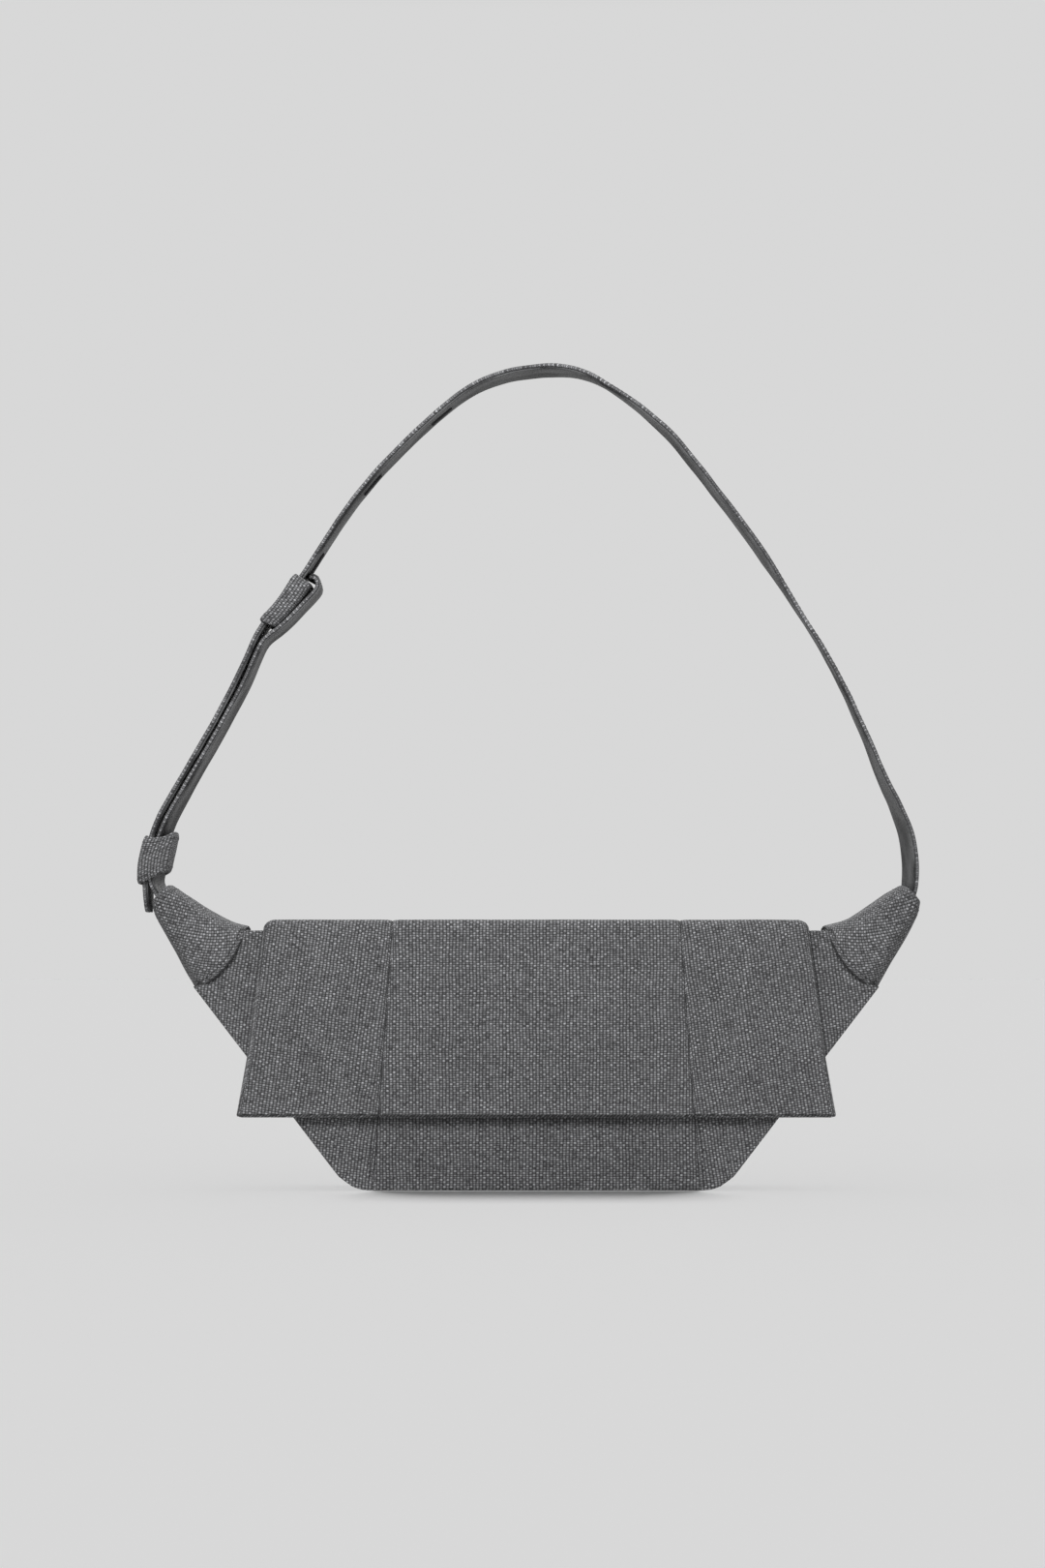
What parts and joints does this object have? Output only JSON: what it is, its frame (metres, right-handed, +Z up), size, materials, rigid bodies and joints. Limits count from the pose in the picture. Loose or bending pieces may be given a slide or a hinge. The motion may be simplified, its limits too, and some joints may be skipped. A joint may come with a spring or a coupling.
{
  "type": "crossbody bag",
  "caption": "Boat-shaped crossbody bag of grey woven canvas with a three-panel fold-over flap, tapered side wings and an arched two-layer strap with a fixed and a sliding keeper.",
  "frame": {"origin": "middle of the flat base, on the surface the bag stands on", "axes": "+Z up through the strap's crown, -Y out of the front under the flap, +X to the right seen from the front"},
  "size_m": [0.4617, 0.0675, 0.4856],
  "materials": {
    "canvas": "matte melange basket weave",
    "lining": "matte twill",
    "binding": "matte ribbed tape",
    "strap_inner": "smooth matte synthetic",
    "board": "matte",
    "metal": "satin"
  },
  "bodies": {
    "bag": {"front_panel_center": "canvas", "front_panel_left": "canvas", "front_panel_right": "canvas", "back_panel": "canvas", "bottom_gusset": "canvas", "side_gusset_left": "canvas", "side_gusset_right": "canvas", "top_gusset_left": "canvas", "top_gusset_right": "canvas", "wing_left": "canvas", "wing_right": "canvas", "front_stiffener": "board", "back_stiffener": "board", "base_stiffener": "board", "lining_front": "lining", "lining_back": "lining", "slip_pocket": "lining", "mouth_binding_front": "binding", "mouth_binding_back": "binding", "body_magnet_left": "metal", "body_magnet_right": "metal", "strap_anchor_left": "lining", "strap_anchor_right": "lining", "flap_back_hem": "canvas"},
    "flap_top": {"flap_top_center": "canvas", "flap_top_left": "canvas", "flap_top_right": "canvas", "flap_top_stiffener": "board", "flap_top_lining": "lining", "flap_fold_edge": "canvas"},
    "flap_front": {"flap_front_center": "canvas", "flap_front_left": "canvas", "flap_front_right": "canvas", "flap_front_stiffener": "board", "flap_front_lining": "lining", "flap_magnet_left": "metal", "flap_magnet_right": "metal"},
    "strap": {"strap_long_outer": "canvas", "strap_long_lining": "strap_inner", "strap_short_outer": "canvas", "strap_short_lining": "strap_inner", "upper_keeper": "canvas", "strap_stud": "metal"},
    "sliding_keeper": {"lower_keeper": "canvas"}
  },
  "joints": [
    {"name": "flap_hinge", "type": "hinge", "parent": "bag", "child": "flap_top", "pos_m": [0, 0.03175, 0.15605], "axis": [-1, 0, 0], "range_deg": [0, 170]},
    {"name": "flap_fold", "type": "hinge", "parent": "flap_top", "child": "flap_front", "pos_m": [0, -0.03225, 0.15605], "axis": [-1, 0, 0], "range_deg": [0, 90]},
    {"name": "strap_swing", "type": "hinge", "parent": "bag", "child": "strap", "pos_m": [0, 0, 0.18], "axis": [1, 0, 0], "range_deg": [-25, 25]},
    {"name": "keeper_travel", "type": "hinge", "parent": "strap", "child": "sliding_keeper", "pos_m": [-0.136, 0, 0.18], "axis": [0, 1, 0], "range_deg": [0, 18]}
  ]
}
